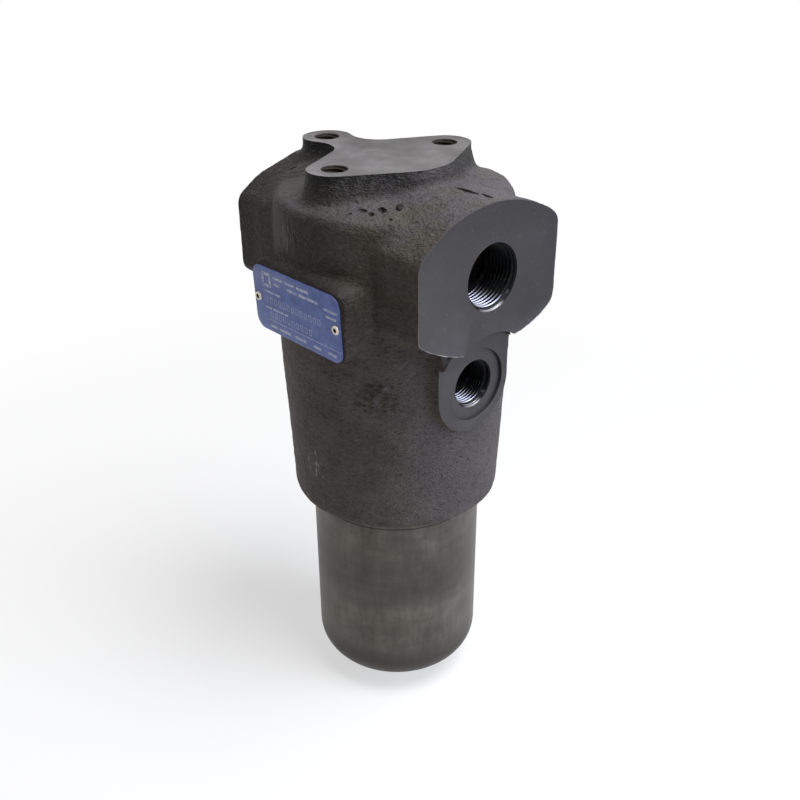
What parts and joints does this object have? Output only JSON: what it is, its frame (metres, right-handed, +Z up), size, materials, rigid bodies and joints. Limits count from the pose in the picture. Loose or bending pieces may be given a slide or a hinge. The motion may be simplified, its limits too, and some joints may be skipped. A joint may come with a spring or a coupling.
{
  "type": "hydraulic pressure filter",
  "caption": "In-line hydraulic filter: cast head with two threaded ports and a lobed mounting pad, unscrewing steel bowl, sprung bypass plate and pleated element inside.",
  "frame": {"origin": "middle of the lower face of the hexagon under the bowl, which the filter stands on", "axes": "+Z up along the bowl's axis, X along the two ports with the outlet at +X, the nameplate faces -Y"},
  "size_m": [0.1136, 0.1042, 0.2577],
  "materials": {
    "cast_iron": "as cast, dark brown grey, machined faces bare",
    "bowl_steel": "turned steel with a dark phosphate finish",
    "plate_blue": "blue printed aluminium sheet, plain lines",
    "rivet_metal": "bright hollow drive rivets",
    "seal_rubber": "nitrile rubber",
    "backup_plastic": "white fluoropolymer",
    "turned_steel": "fine turned steel",
    "spring_steel": "drawn spring wire",
    "cap_metal": "pressed zinc plated sheet",
    "core_metal": "perforated zinc plated tube",
    "media": "pleated glass fibre with support fabric",
    "sleeve_mesh": "woven wire"
  },
  "bodies": {
    "head": {"filter_head": "cast_iron", "nameplate": "plate_blue", "nameplate_rivets": "rivet_metal", "valve_carrier": "turned_steel", "carrier_o_ring": "seal_rubber", "bypass_spring": "spring_steel", "spring_retainer": "turned_steel", "retainer_circlip": "spring_steel", "element_top_cap": "cap_metal", "element_bottom_cap": "cap_metal", "element_core_tube": "core_metal", "element_pleats": "media", "element_outer_sleeve": "sleeve_mesh", "element_o_ring": "seal_rubber"},
    "bowl_seal": {"bowl_o_ring": "seal_rubber", "bowl_backup_ring": "backup_plastic"},
    "bowl": {"filter_bowl": "bowl_steel"},
    "bypass_valve": {"bypass_plate": "turned_steel"}
  },
  "joints": [
    {"name": "bowl_travel", "type": "slide", "parent": "head", "child": "bowl_seal", "axis": [0, 0, -1], "range_m": [0, 0.0161]},
    {"name": "bowl_turn", "type": "hinge", "parent": "bowl_seal", "child": "bowl", "pos_m": [0, 0, 0], "axis": [0, 0, -1], "range_deg": [0, 2880]},
    {"name": "bypass_lift", "type": "slide", "parent": "head", "child": "bypass_valve", "axis": [0, 0, 1], "range_m": [0, 0.003], "stiffness_N_per_m": 4300, "springref_m": -0.017, "deforming": ["bypass_spring"]}
  ],
  "couplings": [
    {"joint": "bowl_travel", "follows": "bowl_turn", "m_per_rad": 0.00031831}
  ]
}
